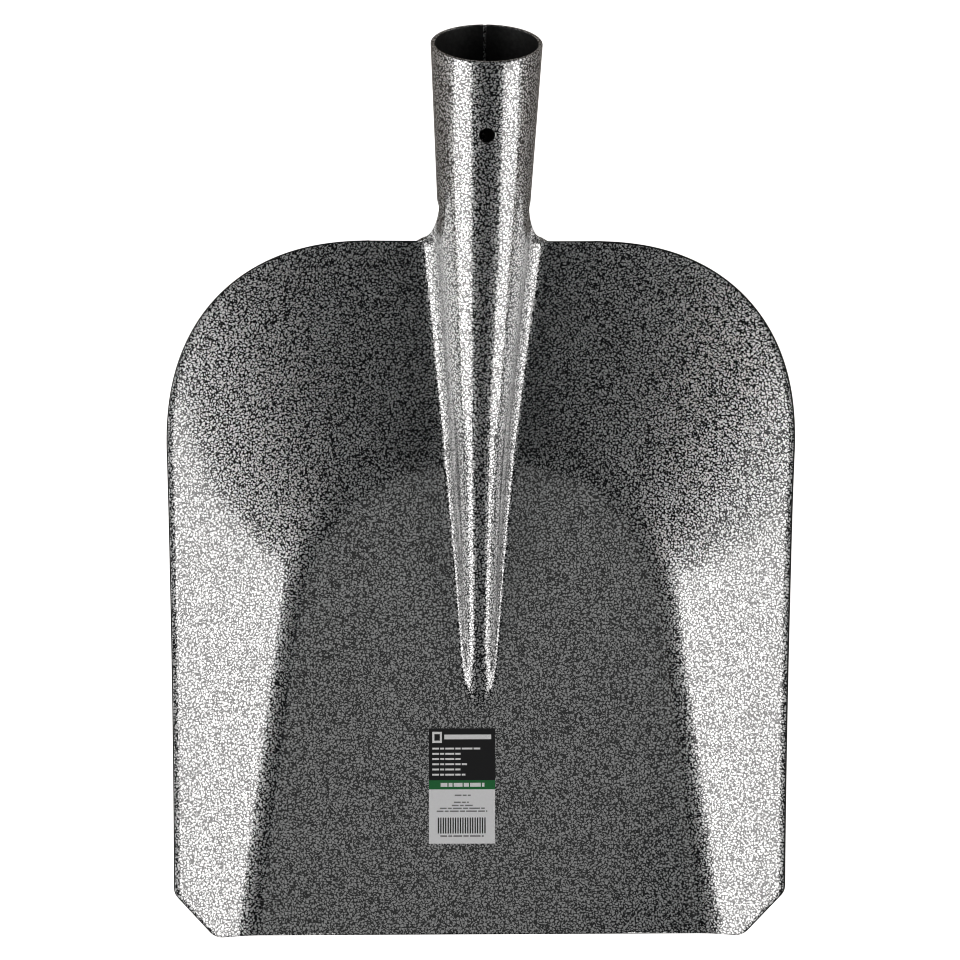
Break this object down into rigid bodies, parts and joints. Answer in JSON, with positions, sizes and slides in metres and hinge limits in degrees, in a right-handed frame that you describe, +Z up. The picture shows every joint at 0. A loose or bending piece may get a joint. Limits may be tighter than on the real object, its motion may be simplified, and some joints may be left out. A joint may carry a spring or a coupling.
{
  "type": "scoop shovel head",
  "caption": "Flat-floored steel scoop shovel head with raised sides and back, clipped front corners, a long pressed ridge and a tapered handle socket.",
  "frame": {"origin": "middle of the bounding box, on the plane that the flat floor rests on", "axes": "+X across the blade, +Y from the front edge to the socket's mouth, +Z up from the floor's underside; the socket rises towards +Y and +Z"},
  "size_m": [0.2358, 0.3408, 0.0969],
  "materials": {
    "hammered_paint": "silver-grey hammered paint with a network of dark veins, glossy",
    "painted_weld": "rippled weld metal under the same hammered paint",
    "label_paper": null
  },
  "bodies": {
    "root": {"blade": "hammered_paint", "socket": "hammered_paint", "seam_weld_upper": "painted_weld", "seam_weld_lower": "painted_weld", "label": "label_paper"}
  },
  "joints": []
}
